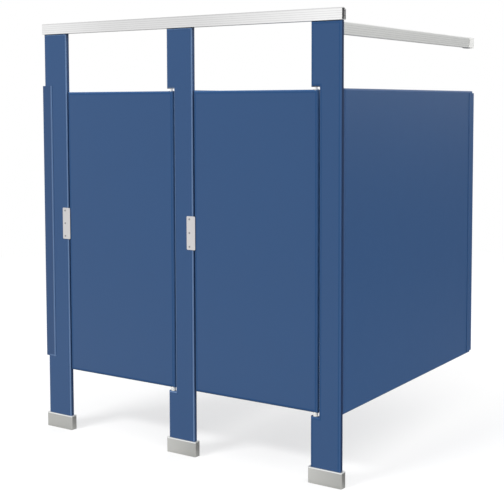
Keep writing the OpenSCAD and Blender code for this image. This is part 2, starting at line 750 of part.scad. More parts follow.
module latch_case_1() latch_case(0);
module latch_case_2() latch_case(1);
module latch_bolt_1() latch_bolt(0);
module latch_bolt_2() latch_bolt(1);
module coat_hook_1() coat_hook(0);
module coat_hook_2() coat_hook(1);

left_pilaster("front");  // left_pilaster_front_sheet
left_pilaster("rear");  // left_pilaster_rear_sheet
left_pilaster("core");  // left_pilaster_core
left_pilaster("trim");  // left_pilaster_edge_trim
mid_pilaster("front");  // mid_pilaster_front_sheet
mid_pilaster("rear");  // mid_pilaster_rear_sheet
mid_pilaster("core");  // mid_pilaster_core
mid_pilaster("trim");  // mid_pilaster_edge_trim
right_pilaster("front");  // right_pilaster_front_sheet
right_pilaster("rear");  // right_pilaster_rear_sheet
right_pilaster("core");  // right_pilaster_core
right_pilaster("trim");  // right_pilaster_edge_trim
door(0, "front");  // door_1_front_sheet
door(0, "rear");  // door_1_rear_sheet
door(0, "core");  // door_1_core
door(0, "trim");  // door_1_edge_trim
door(1, "front");  // door_2_front_sheet
door(1, "rear");  // door_2_rear_sheet
door(1, "core");  // door_2_core
door(1, "trim");  // door_2_edge_trim
divider("rear");  // divider_left_sheet
divider("front");  // divider_right_sheet
divider("core");  // divider_core
divider("trim");  // divider_edge_trim
end_panel("front");  // end_panel_outer_sheet
end_panel("rear");  // end_panel_inner_sheet
end_panel("core");  // end_panel_core
end_panel("trim");  // end_panel_edge_trim
front_headrail();
side_headrail();
headrail_wall_bracket();
side_rail_wall_saddle();
side_rail_pilaster_bracket();
left_wall_channel();
divider_wall_channel();
divider_front_channel();
end_panel_wall_channel();
end_panel_corner_angle();
left_shoe();
mid_shoe();
right_shoe();
floor_brackets();
levelling_bolts();
keeper_1();
keeper_2();
keeper_bumpers();
keeper_bolts();
fixing_screws();
hinge_pins();
hinge_fixed_cams();
door_1_hinge_bush();
door_1_hinge_cam();
door_2_hinge_bush();
door_2_hinge_cam();
latch_case_1();
latch_bolt_1();
coat_hook_1();
latch_case_2();
latch_bolt_2();
coat_hook_2();
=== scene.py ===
# %% [markdown]
# # A double toilet cubicle
# Two bays of blue powder-coated steel stand against a left wall and a rear wall. Three pilasters on
# shoes carry the doors, and aluminium headrails tie the tops together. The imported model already
# holds every solid at its real size, in metres, so this lesson is about what a camera sees: finishes,
# small turned parts, light and viewpoint. Each step says what the thing is, how it could be made, and
# why it is made this way.

# %% Load the frame
import json

import bmesh
import bpy
import numpy as np
from mathutils import Matrix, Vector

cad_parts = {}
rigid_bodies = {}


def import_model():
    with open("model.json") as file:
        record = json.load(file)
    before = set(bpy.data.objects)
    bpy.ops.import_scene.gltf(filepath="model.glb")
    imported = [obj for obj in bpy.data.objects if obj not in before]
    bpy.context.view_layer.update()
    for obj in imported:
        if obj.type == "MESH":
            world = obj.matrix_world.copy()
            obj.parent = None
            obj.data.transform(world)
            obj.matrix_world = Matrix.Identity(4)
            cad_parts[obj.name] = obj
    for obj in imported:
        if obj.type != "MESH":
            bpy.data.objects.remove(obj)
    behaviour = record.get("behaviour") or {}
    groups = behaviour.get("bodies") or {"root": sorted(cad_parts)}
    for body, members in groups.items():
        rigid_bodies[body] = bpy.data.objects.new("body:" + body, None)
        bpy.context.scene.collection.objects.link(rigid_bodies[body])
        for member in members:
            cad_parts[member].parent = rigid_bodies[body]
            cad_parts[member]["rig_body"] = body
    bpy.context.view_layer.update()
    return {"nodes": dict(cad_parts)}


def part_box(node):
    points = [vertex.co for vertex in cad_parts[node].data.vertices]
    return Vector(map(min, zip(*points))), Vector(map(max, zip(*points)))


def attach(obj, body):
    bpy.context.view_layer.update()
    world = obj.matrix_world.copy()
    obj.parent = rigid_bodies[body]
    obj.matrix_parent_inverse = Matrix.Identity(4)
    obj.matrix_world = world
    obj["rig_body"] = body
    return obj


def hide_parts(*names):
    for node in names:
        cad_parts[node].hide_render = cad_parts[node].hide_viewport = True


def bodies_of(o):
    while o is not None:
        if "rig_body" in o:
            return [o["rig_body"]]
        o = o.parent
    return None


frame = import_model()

NODES = frame["nodes"]
MM = 0.001

# %% [markdown]
# ## Viewpoint
# The picture keeps uprights almost parallel, as a view camera does when it looks level and slides its
# back down instead of tilting. A tilt alone would make the pilasters lean together, and a slide alone
# would push the cubicle out of the frame when someone walks round it. So the camera does a little of
# both. The values below come from a least-squares fit of a pinhole camera to the corners of the
# cubicle: where the eye stands, how far it turns, and the focal length for a 36 mm wide frame.

# %% Camera
SENSOR_MM = 36.0
LENS_MM = 77.25
EYE = (3.2075, -4.9615, 1.7373)
YAW, PITCH, ROLL = np.radians([33.52, 4.0, -0.14])
SHIFT_Y = -0.1437

ahead = np.array([-np.sin(YAW) * np.cos(PITCH), np.cos(YAW) * np.cos(PITCH), -np.sin(PITCH)])
right = np.array([np.cos(YAW), np.sin(YAW), 0.0])
up = np.cross(right, ahead)
rolled_right = right * np.cos(ROLL) + up * np.sin(ROLL)
rolled_up = up * np.cos(ROLL) - right * np.sin(ROLL)

camera = bpy.data.objects.new("camera", bpy.data.cameras.new("camera"))
bpy.context.scene.collection.objects.link(camera)
turn = np.eye(4)
turn[:3, :3] = np.stack([rolled_right, rolled_up, -ahead], axis=1)
turn[:3, 3] = EYE
camera.matrix_world = Matrix(turn.tolist())
camera.data.sensor_width = SENSOR_MM
camera.data.lens = LENS_MM
camera.data.shift_y = SHIFT_Y
camera.data.clip_end = 200.0
bpy.context.scene.camera = camera
bpy.context.scene.view_settings.view_transform = "Standard"
print("lens", round(camera.data.lens, 2), "mm, shift", SHIFT_Y)

# %% [markdown]
# ## Nodes in one line
# A shader tree is a handful of nodes and the wires between them. Adding each with three or four lines
# hides the idea, so one helper adds a node and fills its inputs, which may be plain values or the
# outputs of other nodes. The helpers after it name the few sums that turn up again and again.

# %% Helpers for shader trees


def add(tree, kind, inputs=None, **settings):
    """Adds one node to the tree. inputs maps a socket's name or number to a value or to an output."""
    made = tree.nodes.new(kind)
    for key, value in settings.items():
        setattr(made, key, value)
    for key, value in (inputs or {}).items():
        if isinstance(value, bpy.types.NodeSocket):
            tree.links.new(value, made.inputs[key])
        else:
            made.inputs[key].default_value = value
    return made


def math(tree, operation, *values):
    """One Math node; its result is operation(values)."""
    return add(tree, "ShaderNodeMath", dict(enumerate(values)), operation=operation).outputs[0]


def product(tree, first, second):
    """Two colours or vectors multiplied part by part; a plain value counts for all three parts."""
    return add(tree, "ShaderNodeVectorMath", {0: first, 1: second}, operation="MULTIPLY").outputs[0]


def about(tree, value, amount, middle):
    """middle + amount * (value - 0.5): swings round its middle as noise swings round a half."""
    return math(tree, "MULTIPLY_ADD", math(tree, "SUBTRACT", value, 0.5), amount, middle)


def weighed(tree, first, second, share):
    """The sum of two values in which the second has the given share."""
    kept = math(tree, "MULTIPLY", first, 1.0 - share)
    return math(tree, "ADD", kept, math(tree, "MULTIPLY", second, share))


def less(tree, value):
    """What a value leaves of one: 1 - value."""
    return math(tree, "SUBTRACT", 1.0, value)


def object_place(tree):
    """Where a point is, in metres; every piece stands at the origin, so that is its real place."""
    return add(tree, "ShaderNodeTexCoord").outputs["Object"]


def object_xyz(tree):
    """The same place as three sockets, X, Y and Z."""
    return add(tree, "ShaderNodeSeparateXYZ", {0: object_place(tree)}).outputs


def noise(tree, where, scale, detail):
    """Noise between 0 and 1 with about scale bumps per metre, read at the point where."""
    made = add(tree, "ShaderNodeTexNoise", {"Vector": where, "Scale": scale, "Detail": detail})
    return made.outputs["Fac"]


def span(tree, value, lo, hi, to_lo, to_hi):
    """Maps value from the span lo..hi to the span to_lo..to_hi, held at its ends."""
    made = add(tree, "ShaderNodeMapRange", {0: value, 1: lo, 2: hi, 3: to_lo, 4: to_hi})
    return made.outputs[0]


def effect(name, inputs, outputs):
    """A new node group with typed sockets; returns it with its input and output nodes."""
    group = bpy.data.node_groups.new(name, "ShaderNodeTree")
    for socket, kind, value in inputs:
        made = group.interface.new_socket(socket, in_out="INPUT", socket_type="NodeSocket" + kind)
        made.default_value = value
    for socket, kind in outputs:
        group.interface.new_socket(socket, in_out="OUTPUT", socket_type="NodeSocket" + kind)
    return group, group.nodes.new("NodeGroupInput"), group.nodes.new("NodeGroupOutput")


def wire(group, results, outgoing):
    """Joins each result to the group's output of that name."""
    for socket, value in results.items():
        group.links.new(value, outgoing.inputs[socket])


print("helpers for nodes, sums, places, noise and groups are ready")

# %% [markdown]
# ## Powder coat
# Dry paint powder is baked on the steel, and it flows into a skin that is smooth but not flat: soft
# ripples a few millimetres apart, which painters call orange peel, and a faint drift of tone over a
# whole door. A flat colour would look like plastic film. The group below works on Object
# coordinates, so the ripples keep their real size on every leaf and run on from sheet to edge strip.

# %% Powder-coat group
skin, skin_in, skin_out = effect(
    "powder_coat_skin",
    [("Color", "Color", (0.05, 0.12, 0.24, 1.0)), ("Drift", "Float", 0.05), ("Gloss", "Float", 0.33),
     ("Peel Per Metre", "Float", 240.0)],
    [("Color", "Color"), ("Roughness", "Float"), ("Height", "Float")],
)
DRIFT_PER_METRE, CLOUD_PER_METRE, GRIT_PER_METRE = 1.7, 11.0, 1500.0
CLOUD_SHARE = 0.3
CLOUD_ON_GLOSS = 0.08
GRIT_DEPTH = 0.25
place = object_place(skin)
drift = noise(skin, place, DRIFT_PER_METRE, detail=3.0)
cloud = noise(skin, place, CLOUD_PER_METRE, detail=2.0)
tone = weighed(skin, drift, cloud, CLOUD_SHARE)
level = about(skin, tone, skin_in.outputs["Drift"], 1.0)
peel = noise(skin, place, skin_in.outputs["Peel Per Metre"], detail=2.0)
grit = noise(skin, place, GRIT_PER_METRE, detail=1.0)
wire(skin, {
    "Color": product(skin, skin_in.outputs["Color"], level),
    "Roughness": about(skin, cloud, CLOUD_ON_GLOSS, skin_in.outputs["Gloss"]),
    "Height": math(skin, "ADD", peel, math(skin, "MULTIPLY", grit, GRIT_DEPTH)),
}, skin_out)
print("group", skin.name, "nodes", len(skin.nodes))

# %% [markdown]
# ## Metal grain
# Rolled, extruded and brushed metals all carry fine lines in one direction. Noise squeezed across the
# lines and stretched along them gives the same look, so one group serves every metal here: its Grain
# vector says how many lines there are per metre along X, Y and Z.

# %% Metal-grain group
grain, grain_in, grain_out = effect(
    "metal_grain",
    [("Grain", "Vector", (4.0, 900.0, 900.0)), ("Color", "Color", (0.6, 0.6, 0.6, 1.0)),
     ("Contrast", "Float", 0.10), ("Rough", "Float", 0.3)],
    [("Color", "Color"), ("Roughness", "Float"), ("Height", "Float")],
)
SMEAR_PER_METRE = 14.0
SMEAR_SHARE = 0.4
GRAIN_ON_ROUGH = 0.18
place = object_place(grain)
lines = noise(grain, product(grain, place, grain_in.outputs["Grain"]), 1.0, detail=3.0)
smear = noise(grain, place, SMEAR_PER_METRE, detail=3.0)
mix = weighed(grain, lines, smear, SMEAR_SHARE)
level = about(grain, mix, grain_in.outputs["Contrast"], 1.0)
wire(grain, {
    "Color": product(grain, grain_in.outputs["Color"], level),
    "Roughness": about(grain, mix, GRAIN_ON_ROUGH, grain_in.outputs["Rough"]),
    "Height": lines,
}, grain_out)
print("group", grain.name, "nodes", len(grain.nodes))

# %% [markdown]
# ## Edge strip
# The two sheets of a leaf fold over a crowned strip that locks them along the edge. A highlight is painted
# on the bend of each fold, and shade is painted on the strip between the two folds. Both show as fine
# upright lines from the front. They could be strips of mesh of their own, but the form is in the solids
# already and only its tone is wanted. So the group below works out how far a point has sunk from the face
# towards the leaf's middle plane, and turns that into three masks for painted light: the crest of a bead
# and the bend of a fold for a painted highlight, and the strip between the folds for a painted tone, mostly
# shade.

# %% Edge-strip group
strip, strip_in, strip_out = effect(
    "edge_strip",
    [("Axis", "Vector", (0.0, 1.0, 0.0)), ("Middle", "Float", 0.0), ("Half", "Float", 0.014)],
    [("Crest Highlight", "Float"), ("Bend Highlight", "Float"), ("Strip", "Float")],
)
CREST_ENDS = (0.9 * MM, 1.8 * MM)
BEND_STARTS = (0.1 * MM, 1.0 * MM)
SHADE_STARTS = (4.0 * MM, 6.2 * MM)
along = add(strip, "ShaderNodeVectorMath", {0: object_place(strip), 1: strip_in.outputs["Axis"]},
            operation="DOT_PRODUCT").outputs["Value"]
off = math(strip, "ABSOLUTE", math(strip, "SUBTRACT", along, strip_in.outputs["Middle"]))
sunk = math(strip, "SUBTRACT", strip_in.outputs["Half"], off)
# the strip between the folds takes a painted tone, mostly shade, and the bends a painted highlight
shaded = span(strip, sunk, *SHADE_STARTS, 0.0, 1.0)
bent = span(strip, sunk, *BEND_STARTS, 0.0, 1.0)
wire(strip, {
    "Crest Highlight": span(strip, sunk, *CREST_ENDS, 1.0, 0.0),
    "Bend Highlight": math(strip, "MULTIPLY", bent, less(strip, shaded)),
    "Strip": shaded,
}, strip_out)
print("group", strip.name, "nodes", len(strip.nodes))

# %% [markdown]
# ## Extrusion grooves
# Each headrail is squeezed through a die that leaves a few fine grooves along its face, and shade keeps
# them grey. The grooves are real cuts in the solid. They are thinner than a pixel from here, so the
# group below paints their shade in grey by height: it measures how far a point is from the nearest groove.

# %% Groove group
groove_shade, groove_shade_in, groove_shade_out = effect(
    "painted_groove_shade",
    [("Base", "Float", 0.0), ("Step", "Float", 9.94 * MM), ("Width", "Float", 1.1 * MM)],
    [("Mask", "Float")],
)
GROOVE_CORE = 0.4 * MM
above = math(groove_shade, "SUBTRACT", object_xyz(groove_shade)["Z"], groove_shade_in.outputs["Base"])
away = math(groove_shade, "PINGPONG", above, math(groove_shade, "MULTIPLY", groove_shade_in.outputs["Step"], 0.5))
wire(groove_shade, {"Mask": span(groove_shade, away, groove_shade_in.outputs["Width"], GROOVE_CORE, 0.0, 1.0)}, groove_shade_out)
print("group", groove_shade.name, "nodes", len(groove_shade.nodes))

# %% [markdown]
# ## Finishes
# Each finish is a Principled BSDF fed by those groups. Colours are written as they should look under
# plain light, in the linear values that Blender works in.

# %% Material helpers


def linear(*rgb):
    """Screen colour 0..255 to linear 0..1: ((c + 0.055) / 1.055) ** 2.4, and c / 12.92 near black."""
    c = np.array(rgb) / 255.0
    return tuple(np.where(c > 0.04045, ((c + 0.055) / 1.055) ** 2.4, c / 12.92)) + (1.0,)


def finish_of(name, **sockets):
    """A new material with a Principled BSDF whose named sockets hold plain values."""
    material = bpy.data.materials.new(name)
    material.use_nodes = True
    shader = material.node_tree.nodes["Principled BSDF"]
    for socket, value in sockets.items():
        shader.inputs[socket.replace("_", " ")].default_value = value
    return material, material.node_tree, shader


def raised(tree, height, shader, bump_mm):
    """Lets a height from 0 to 1 stand up to bump_mm out of the surface, as far as light can tell."""
    bump = add(tree, "ShaderNodeBump", {"Height": height, "Distance": bump_mm * MM, "Strength": 1.0})
    tree.links.new(bump.outputs["Normal"], shader.inputs["Normal"])


def join(tree, source, shader, bump_mm):
    """Feeds a group's Color, Roughness and Height to the shader; the height stands up to bump_mm."""
    tree.links.new(source.outputs["Color"], shader.inputs["Base Color"])
    tree.links.new(source.outputs["Roughness"], shader.inputs["Roughness"])
    raised(tree, source.outputs["Height"], shader, bump_mm)


def use(tree, group, **values):
    """Places an effect group in a material's tree; values name its inputs, with _ for a space."""
    made = add(tree, "ShaderNodeGroup", node_tree=group)
    for key, value in values.items():
        socket = made.inputs[key.replace("_", " ")]
        if isinstance(value, bpy.types.NodeSocket):
            tree.links.new(value, socket)
        else:
            socket.default_value = value
    return made


print("the screen's middle grey is", round(float(linear(128, 128, 128)[0]), 3), "in linear light")

# %% Paint for the flat sheets and the folded channels
BLUE = linear(46, 80, 124)
DRIFT = 0.05
paint, tree, shader = finish_of("blue_powder_coat", Specular_IOR_Level=0.35)
join(tree, use(tree, skin, Color=BLUE, Drift=DRIFT), shader, bump_mm=0.03)
print("paint", paint.name, "nodes", len(tree.nodes))

# %% [markdown]
# ## Paint on the edges
# From the front the crowned edges are only a few pixels wide, yet they draw the outline of every leaf.
# One paint for all of them would do on the bench. In the room a pilaster's bends catch a pale line and
# a door's hardly do, so each kind of leaf gets its own two painted tones: a painted highlight on the
# bends, and on the strip between them a painted shade, or on the doors a painted lightening that lifts
# the shade of their gaps. Each also gets its own gloss and its own strength of mirror. The wall channel
# has beads in place of folds, and a painted highlight makes its crests and its foot paler.

# %% Paint for the crowned edges
SHEET = 1.0 * MM
BEND_HIGHLIGHT = linear(100, 127, 166)
SOFT_BEND_HIGHLIGHT = linear(58, 90, 133)
# painted highlight on the bends, painted tone of the strip between them (shade, but lighter on the doors),
# roughness, specular level
EDGES = {
    "left_pilaster": (BEND_HIGHLIGHT, linear(42, 67, 104), 0.24, 0.30),
    "right_pilaster": (SOFT_BEND_HIGHLIGHT, linear(28, 48, 82), 0.42, 0.15),
    "door_1": (SOFT_BEND_HIGHLIGHT, linear(72, 108, 156), 0.45, 0.12),
    "divider": (BEND_HIGHLIGHT, linear(36, 58, 96), 0.35, 0.30),
    "end_panel": (linear(54, 84, 127), linear(36, 58, 96), 0.35, 0.25),
}


def blended(tree, mask, first, second):
    """Colour that goes from first, where the mask is 0, to second, where it is 1."""
    return add(tree, "ShaderNodeMix", {0: mask, 6: first, 7: second}, data_type="RGBA").outputs[2]


def edge_paint(leaf, bend, painted_strip_tone, gloss, specular):
    """Powder coat for a leaf's edge: a painted highlight on its bends and a painted tone on the strip
    between.

    The core of the leaf tells where: its thinnest side is the axis, and a sheet lies on either face.
    """
    lo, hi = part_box(leaf + "_core")
    thin = min(range(3), key=lambda k: hi[k] - lo[k])
    axis = tuple(float(k == thin) for k in range(3))
    half = (hi[thin] - lo[thin]) / 2 + SHEET
    material, tree, shader = finish_of("blue_edge_" + leaf, Specular_IOR_Level=specular)
    masks = use(tree, strip, Axis=axis, Middle=(lo[thin] + hi[thin]) / 2, Half=half).outputs
    tone = blended(tree, masks["Strip"], blended(tree, masks["Bend Highlight"], BLUE, bend), painted_strip_tone)
    join(tree, use(tree, skin, Color=tone, Drift=DRIFT, Gloss=gloss), shader, bump_mm=0.02)
    return material


edges = {leaf: edge_paint(leaf, *values) for leaf, values in EDGES.items()}
edges["mid_pilaster"] = edges["left_pilaster"]
edges["door_2"] = edges["door_1"]
print("edge paints", sorted(EDGES))

# %% Paint for the beaded wall channel
# the crests and the foot take a painted highlight, and the rest of the channel a painted shade a little
# darker than the sheets
CREST_HIGHLIGHT_TONE, CHANNEL_SHADE_TONE = linear(88, 115, 154), linear(43, 74, 116)
FOOT_FROM, FOOT_TO = 8.0 * MM, 6.5 * MM
FLANGE_FROM, FLANGE_TO = 18.0 * MM, 24.0 * MM
lo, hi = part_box("left_wall_channel")
beaded, tree, shader = finish_of("blue_bead", Specular_IOR_Level=0.35)
crest_highlight = use(tree, strip, Middle=(lo.y + hi.y) / 2, Half=(hi.y - lo.y) / 2).outputs["Crest Highlight"]
xyz = object_xyz(tree)
foot_highlight = math(tree, "MULTIPLY", span(tree, xyz["Z"], lo.z + FOOT_FROM, lo.z + FOOT_TO, 0.0, 1.0),
            span(tree, xyz["X"], lo.x + FLANGE_FROM, lo.x + FLANGE_TO, 0.0, 1.0))
tone = blended(tree, math(tree, "MAXIMUM", crest_highlight, foot_highlight), CHANNEL_SHADE_TONE, CREST_HIGHLIGHT_TONE)
join(tree, use(tree, skin, Color=tone, Drift=DRIFT), shader, bump_mm=0.03)
print("paint", beaded.name, "nodes", len(tree.nodes))

# %% [markdown]
# ## Metals
# The headrails are extruded aluminium with a pale anodised skin, lined along their length. Shoes and
# keepers are satin stainless steel, brushed along the floor on the shoes and upright on the keepers.
# Latches and coat hooks are chromed, and the saddle of the side rail is a blasted casting, which is
# duller than any of them. Along the front a painted reflection makes the anodised skin and the shoes
# grow paler and darker again from left to right; a few stops along X say how. The rolled rim of each
# shoe carries a painted highlight.

# %% Metal finishes
EVEN = [(-1.0, 1.0), (1.0, 1.0)]
# painted reflection: levels at stops along X for the anodised front and for the shoes
ANODISED_REFLECTION = [(-0.81, 0.93), (-0.40, 0.81), (0.11, 0.80), (0.40, 0.88), (0.62, 0.94), (0.79, 1.0)]
SHOE_REFLECTION = [(-0.73, 0.84), (-0.10, 1.0), (0.09, 0.76), (0.72, 1.0), (0.90, 0.76)]
RIM_FROM, RIM_TO = 6.8 * MM, 5.0 * MM


def metal(name, color, lines_per_metre, contrast, rough, bump_mm, metallic=1.0):
    """A grained metal with so many lines per metre along X, Y and Z, bump_mm deep.

    contrast is how far its tone swings, and rough its roughness.
    """
    material, tree, shader = finish_of(name, Metallic=metallic)
    look = use(tree, grain, Grain=lines_per_metre, Color=color, Contrast=contrast, Rough=rough)
    join(tree, look, shader, bump_mm)
    return material


def painted_reflection_along_x(tree, stops):
    """Painted reflection that runs straight from stop to stop, each (x, level) with x from -1 to 1 metre."""
    ramp = add(tree, "ShaderNodeValToRGB", {"Fac": span(tree, object_xyz(tree)["X"], -1.0, 1.0, 0.0, 1.0)})
    marks = ramp.color_ramp.elements
    while len(marks) < len(stops):
        marks.new(0.5)
    for mark, (x, level) in zip(marks, stops):
        mark.position, mark.color = (x + 1.0) / 2.0, (level, level, level, 1.0)
    return ramp.outputs["Color"]


def extruded(name, rail, color, lines_per_metre, groove_shade_share, stops=EVEN):
    """Anodised aluminium whose grooves take a painted shade that keeps the given share of its tone.

    They are counted from the rail's underside; stops say how a painted reflection runs along X.
    """
    material, tree, shader = finish_of(name, Metallic=1.0)
    mask = use(tree, groove_shade, Base=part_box(rail)[0].z).outputs["Mask"]
    grey = tuple(groove_shade_share * c for c in color[:3]) + (1.0,)
    tone = product(tree, blended(tree, mask, color, grey), painted_reflection_along_x(tree, stops))
    look = use(tree, grain, Grain=lines_per_metre, Color=tone, Contrast=0.08, Rough=0.36)
    join(tree, look, shader, bump_mm=0.02)
    return material


def rimmed(name, shoe, color, rim_highlight_color):
    """Satin steel brushed along the floor; painted reflection along X, painted highlight on its rolled rim.
    """
    material, tree, shader = finish_of(name, Metallic=1.0)
    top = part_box(shoe)[1].z
    rim_highlight = span(tree, object_xyz(tree)["Z"], top - RIM_FROM, top - RIM_TO, 0.0, 1.0)
    tone = blended(tree, rim_highlight, product(tree, color[:3], painted_reflection_along_x(tree, SHOE_REFLECTION)), rim_highlight_color)
    look = use(tree, grain, Grain=(6.0, 6.0, 1100.0), Color=tone, Contrast=0.20, Rough=0.34)
    join(tree, look, shader, bump_mm=0.02)
    return material


rail_front = extruded("anodised_aluminium_front", "front_headrail", linear(249, 249, 249),
                      (3.0, 900.0, 900.0), 0.76, ANODISED_REFLECTION)
rail_side = extruded("anodised_aluminium_side", "side_headrail", linear(246, 247, 245),
                     (900.0, 3.0, 900.0), 0.85)
shoe_steel = rimmed("satin_steel_shoe", "left_shoe", linear(194, 194, 190), linear(238, 239, 238))
saddle_cast = metal("blasted_zinc_saddle", linear(238, 238, 236), (300.0, 300.0, 300.0), 0.06, 0.55, 0.02,
                    metallic=0.2)
keeper_steel = metal("satin_steel_keeper", linear(208, 206, 206), (1100.0, 1100.0, 8.0), 0.12, 0.34, 0.02)
plain_steel = metal("zinc_steel", linear(190, 190, 188), (300.0, 300.0, 40.0), 0.18, 0.38, 0.03)
bolt_steel = metal("plated_steel_bolt", linear(150, 150, 152), (500.0, 500.0, 500.0), 0.16, 0.36, 0.01)
chrome = metal("chrome_plate", linear(226, 227, 230), (60.0, 60.0, 60.0), 0.04, 0.16, 0.002)
metals = (rail_front, rail_side, shoe_steel, saddle_cast, keeper_steel, plain_steel, bolt_steel, chrome)
print("metals:", [finish.name for finish in metals])

# %% [markdown]
# ## Plastics, rubber and the paper core
# Nylon is faintly mottled, rubber is dull and dusty, and the honeycomb core is brown kraft paper. The
# core hides inside the leaves, yet it has its own finish for whoever opens one up.

# %% Soft finishes
SPECK_FROM, SPECK_TO = 0.3, 0.7


def moulded(name, color, dark, scale, rough, bump_mm):
    """A plain moulded surface: two tones mixed by noise of scale bumps per metre."""
    material, tree, shader = finish_of(name, Specular_IOR_Level=0.4)
    speck = noise(tree, object_place(tree), scale, detail=3.0)
    ramp = add(tree, "ShaderNodeValToRGB", {"Fac": speck})
    for mark, at, tone in zip(ramp.color_ramp.elements, (SPECK_FROM, SPECK_TO), (dark, color)):
        mark.position, mark.color = at, tone
    tree.links.new(ramp.outputs["Color"], shader.inputs["Base Color"])
    tree.links.new(span(tree, speck, SPECK_FROM, SPECK_TO, rough, rough + 0.1), shader.inputs["Roughness"])
    raised(tree, speck, shader, bump_mm)
    return material


nylon = moulded("white_nylon", linear(248, 248, 245), linear(240, 240, 236), 400.0, 0.45, 0.02)
rubber = moulded("black_rubber", linear(42, 42, 44), linear(30, 30, 32), 700.0, 0.75, 0.05)
kraft = moulded("kraft_paper", linear(206, 184, 142), linear(186, 162, 120), 180.0, 0.85, 0.10)
print("soft finishes:", nylon.name, rubber.name, kraft.name)

# %% [markdown]
# ## Dress the solids
# Every solid gets the finish of what it is made of. The names say which leaf and which layer a solid
# is, so a short rule picks the finish.

# %% Give each solid its finish


def finish_for(node):
    """The finish that a solid's name asks for."""
    if node.endswith("_core"):
        return kraft
    if node.endswith("_edge_trim"):
        return edges[node[:-len("_edge_trim")]]
    if node == "left_wall_channel":
        return beaded
    if "sheet" in node or "channel" in node or "angle" in node:
        return paint
    if node == "front_headrail":
        return rail_front
    if node == "side_headrail":
        return rail_side
    if "saddle" in node:
        return saddle_cast
    if "hinge_bush" in node or "cam" in node:
        return nylon
    if node == "keeper_bumpers":
        return rubber
    if node.startswith("keeper_bolts"):
        return bolt_steel
    if node.startswith("keeper"):
        return keeper_steel
    if node.endswith("shoe"):
        return shoe_steel
    if node.startswith(("latch", "coat_hook", "hinge_pins")):
        return chrome
    return plain_steel


for name, solid in NODES.items():
    solid.data.materials.clear()
    solid.data.materials.append(finish_for(name))
print("solids dressed:", len(NODES))

# %% [markdown]
# ## Turned parts
# Bolts, screws, stems and knobs are made on a lathe. A lathe needs only one line: how far the metal stands
# from the axis at each height. Turning that line round the axis gives the surface. All heights and
# all angles are worked out at once as one grid of points, and a second helper sets copies of a
# shape where they belong, so that six bolts or thirty screws stay one light mesh.

# %% A lathe, and a hand that sets its parts
SAME_POINT = 1e-6
CREASE = np.radians(35)


def closed_grid(rows, columns):
    """Quads of a grid whose columns close on themselves.

    Point (i, j) joins (i, j + 1), then the same two points one row up, in reverse.
    """
    i, j = np.meshgrid(np.arange(rows - 1), np.arange(columns), indexing="ij")
    this, beside = i * columns + j, i * columns + (j + 1) % columns
    return np.stack([this, beside, beside + columns, this + columns], axis=-1).reshape(-1, 4)


def turned(profile, sides=32, ribs=0, rib_depth=0.0):
    """Surface of revolution about +Z from (radius, height) pairs in mm that start and end on the axis.

    A point is (r cos a, r sin a, h) for height row and angle a. With ribs, r shrinks by
    rib_depth * (1 - cos(ribs * a)) / 2 on rows that stand at the full radius, which knurls the rim.
    """
    radius, height = np.array(profile, dtype=float).T[:, :, None]
    angle = (np.arange(sides) + 0.5) * 2.0 * np.pi / sides
    radius = radius - rib_depth * (1.0 - np.cos(ribs * angle)) / 2.0 * (radius >= radius.max())
    points = np.stack([radius * np.cos(angle), radius * np.sin(angle), height + 0.0 * angle], axis=-1)
    return points.reshape(-1, 3) * MM, closed_grid(len(profile), sides)


def joined(*shapes):
    """Several shapes as one, end to end: each face's numbers move past the points before them."""
    shifts = np.cumsum([0] + [len(points) for points, faces in shapes[:-1]])
    faces = np.concatenate([shape[1] + shift for shape, shift in zip(shapes, shifts)])
    return np.concatenate([shape[0] for shape in shapes]), faces


def placed(shape, spots, axis):
    """A copy of the shape at every spot with +Z turned to axis: spot + x U + y V + z W, W the axis."""
    points, faces = shape
    w = np.array(axis, dtype=float)
    u = np.cross((0.0, 0.0, 1.0) if abs(w[2]) < 0.5 else (1.0, 0.0, 0.0), w)
    spots = np.atleast_2d(spots)
    moved = spots[:, None] + points @ np.stack([u, np.cross(w, u), w])
    index = faces + np.arange(len(spots))[:, None, None] * len(points)
    return moved.reshape(-1, 3), index.reshape(-1, faces.shape[-1])


def piece(name, shape, finish, body, node):
    """A mesh with merged seams and outward faces, which rides on a body and stands for a node."""
    points, faces = shape
    mesh = bpy.data.meshes.new(name)
    mesh.from_pydata(points.tolist(), [], faces.tolist())
    work = bmesh.new()
    work.from_mesh(mesh)
    bmesh.ops.remove_doubles(work, verts=work.verts, dist=SAME_POINT)
    bmesh.ops.recalc_face_normals(work, faces=work.faces)
    work.to_mesh(mesh)
    work.free()
    mesh.shade_smooth()
    mesh.set_sharp_from_angle(angle=CREASE)
    mesh.materials.append(finish)
    made = bpy.data.objects.new(name, mesh)
    bpy.context.scene.collection.objects.link(made)
    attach(made, body)
    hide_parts(node)
    return made


def body_of(node):
    """The body that a CAD node rides on."""
    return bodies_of(NODES[node])[0]


disc = turned([(0, 0), (5, 0), (5, 1), (0, 1)])
print("a disc turned from four corners has", len(disc[1]), "faces")

# %% [markdown]
# ## Through bolts and screws
# A keeper is held by three bolts that run through the pilaster, with a low dome and a small socket at
# the front and a plain dome at the back. Channels are held by pan-head screws. Each is one
# profile from pole to pole, head, shank and end, so no loose disc floats on the steel.

